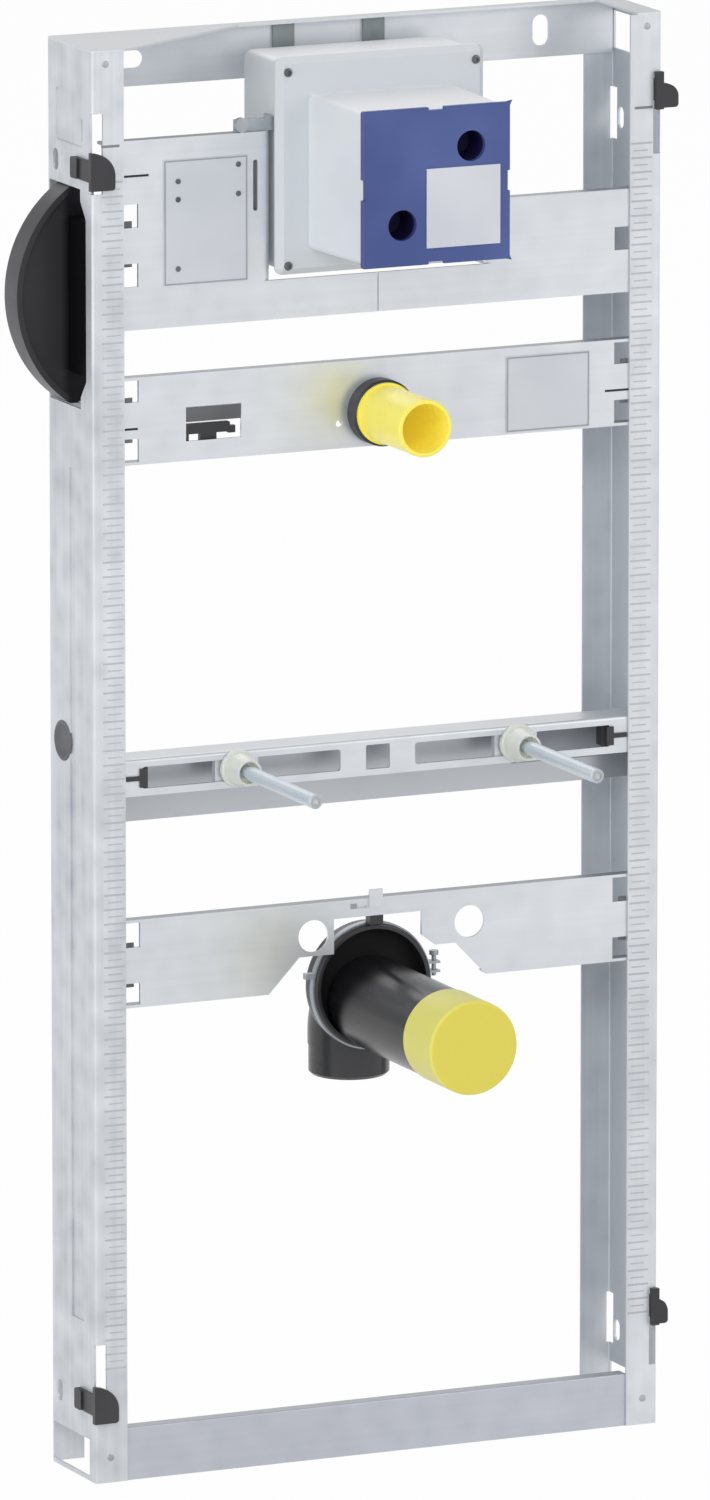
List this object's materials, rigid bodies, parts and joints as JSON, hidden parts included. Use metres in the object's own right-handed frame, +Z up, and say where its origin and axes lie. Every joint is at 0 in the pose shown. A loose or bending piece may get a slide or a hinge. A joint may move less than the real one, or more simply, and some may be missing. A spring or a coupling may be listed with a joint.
{
  "type": "urinal installation frame",
  "caption": "Open sheet-steel wall frame for a urinal, with height-adjustable cross members for the valve box, water inlet, fixing studs and drain bend.",
  "frame": {"origin": "middle of the bottom rail's underside, on the floor, 6.5 mm behind the front plane of the posts", "axes": "+Z up, +X to the right seen from the front, +Y to the back, so studs, inlet and drain point along -Y"},
  "size_m": [0.4745, 0.2316, 0.99],
  "materials": {
    "galvanised_sheet": "zinc coated, satin",
    "zinc_rod": "zinc coated",
    "black_plastic": "moulded, satin",
    "pale_plate": "satin",
    "pale_label": "matt",
    "brass_body": "cast",
    "yellow_plug": "moulded, glossy",
    "yellow_cap": "moulded, glossy",
    "rubber_seal": "matt",
    "white_plastic": "moulded, satin",
    "blue_cover": "moulded, satin",
    "milky_plastic": "milky, translucent"
  },
  "bodies": {
    "root": {"bottom_rail": "galvanised_sheet", "box_cover": "blue_cover", "box_strap_left": "galvanised_sheet", "box_strap_right": "galvanised_sheet", "box_tie": "galvanised_sheet", "carrier_left": "galvanised_sheet", "carrier_right": "galvanised_sheet", "cover_label": "pale_label", "drain_bend": "black_plastic", "drain_cap": "yellow_cap", "drain_clamp": "galvanised_sheet", "drain_pipe": "black_plastic", "drain_plate": "galvanised_sheet", "drain_seal": "rubber_seal", "ear_plate": "pale_plate", "inlet_body": "brass_body", "inlet_clip": "black_plastic", "inlet_collar": "black_plastic", "inlet_label_plate": "pale_plate", "inlet_plate": "galvanised_sheet", "inlet_plug": "yellow_plug", "latch_bottom_left": "black_plastic", "latch_bottom_right": "black_plastic", "latch_top_left": "black_plastic", "latch_top_right": "black_plastic", "left_post": "galvanised_sheet", "rail_clip_left": "black_plastic", "rail_clip_right": "black_plastic", "right_post": "galvanised_sheet", "side_guard": "black_plastic", "stud_anchor_left": "galvanised_sheet", "stud_anchor_right": "galvanised_sheet", "stud_left": "zinc_rod", "stud_rail": "galvanised_sheet", "stud_right": "zinc_rod", "stud_sleeve_left": "milky_plastic", "stud_sleeve_right": "milky_plastic", "top_rail": "galvanised_sheet", "valve_box": "white_plastic"}
  },
  "joints": []
}
